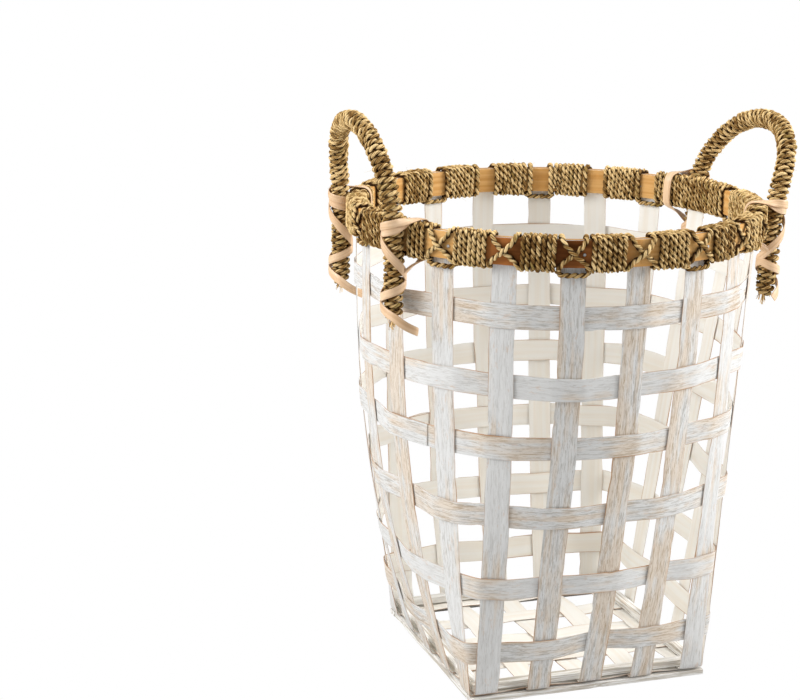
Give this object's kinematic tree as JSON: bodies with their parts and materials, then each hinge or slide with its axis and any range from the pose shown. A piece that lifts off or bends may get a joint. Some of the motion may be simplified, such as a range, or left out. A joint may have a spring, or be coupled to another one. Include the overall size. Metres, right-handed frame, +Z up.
{
  "type": "woven basket",
  "caption": "Tapered open-weave splint basket with a round twine-bound rim, square base and two upright loop handles, for storing household things.",
  "frame": {"origin": "on the ground, under the middle of the whole basket's bounding box; the axis of the rim and base is 9.2 mm to the -X side of it", "axes": "+Z up, -Y towards the front wall, handles at -X and +X"},
  "size_m": [0.4006, 0.3594, 0.4913],
  "materials": {
    "whitewashed_splint": "dry whitewash with worn tan edges",
    "whitewashed_slat": "dry whitewash",
    "bare_wood": "matt bare wood",
    "seagrass_twine": "two-ply twisted grass",
    "cane": "smooth peeled cane",
    "steel": "plain"
  },
  "bodies": {
    "root": {"base_nail_1": "steel", "base_nail_2": "steel", "base_nail_3": "steel", "base_nail_4": "steel", "foot_slat_back": "whitewashed_slat", "foot_slat_front": "whitewashed_slat", "foot_slat_left": "whitewashed_slat", "foot_slat_right": "whitewashed_slat", "inner_rim_hoop": "bare_wood", "inner_slat_back": "whitewashed_slat", "inner_slat_front": "whitewashed_slat", "inner_slat_left": "whitewashed_slat", "inner_slat_right": "whitewashed_slat", "left_back_lashing": "cane", "left_front_lashing": "cane", "left_handle_core": "bare_wood", "left_handle_winding": "seagrass_twine", "outer_rim_hoop": "bare_wood", "right_back_lashing": "cane", "right_front_lashing": "cane", "right_handle_core": "bare_wood", "right_handle_winding": "seagrass_twine", "rim_brad_1": "steel", "rim_brad_10": "steel", "rim_brad_2": "steel", "rim_brad_3": "steel", "rim_brad_4": "steel", "rim_brad_5": "steel", "rim_brad_6": "steel", "rim_brad_7": "steel", "rim_brad_8": "steel", "rim_brad_9": "steel", "rim_twine_back": "seagrass_twine", "rim_twine_front": "seagrass_twine", "rim_twine_left": "seagrass_twine", "rim_twine_right": "seagrass_twine", "splint_front_to_back_1": "whitewashed_splint", "splint_front_to_back_2": "whitewashed_splint", "splint_front_to_back_3": "whitewashed_splint", "splint_front_to_back_4": "whitewashed_splint", "splint_front_to_back_5": "whitewashed_splint", "splint_side_to_side_1": "whitewashed_splint", "splint_side_to_side_2": "whitewashed_splint", "splint_side_to_side_3": "whitewashed_splint", "splint_side_to_side_4": "whitewashed_splint", "splint_side_to_side_5": "whitewashed_splint", "weaver_row_1": "whitewashed_splint", "weaver_row_2": "whitewashed_splint", "weaver_row_3": "whitewashed_splint", "weaver_row_4": "whitewashed_splint", "weaver_row_5": "whitewashed_splint", "weaver_row_6": "whitewashed_splint"}
  },
  "joints": []
}
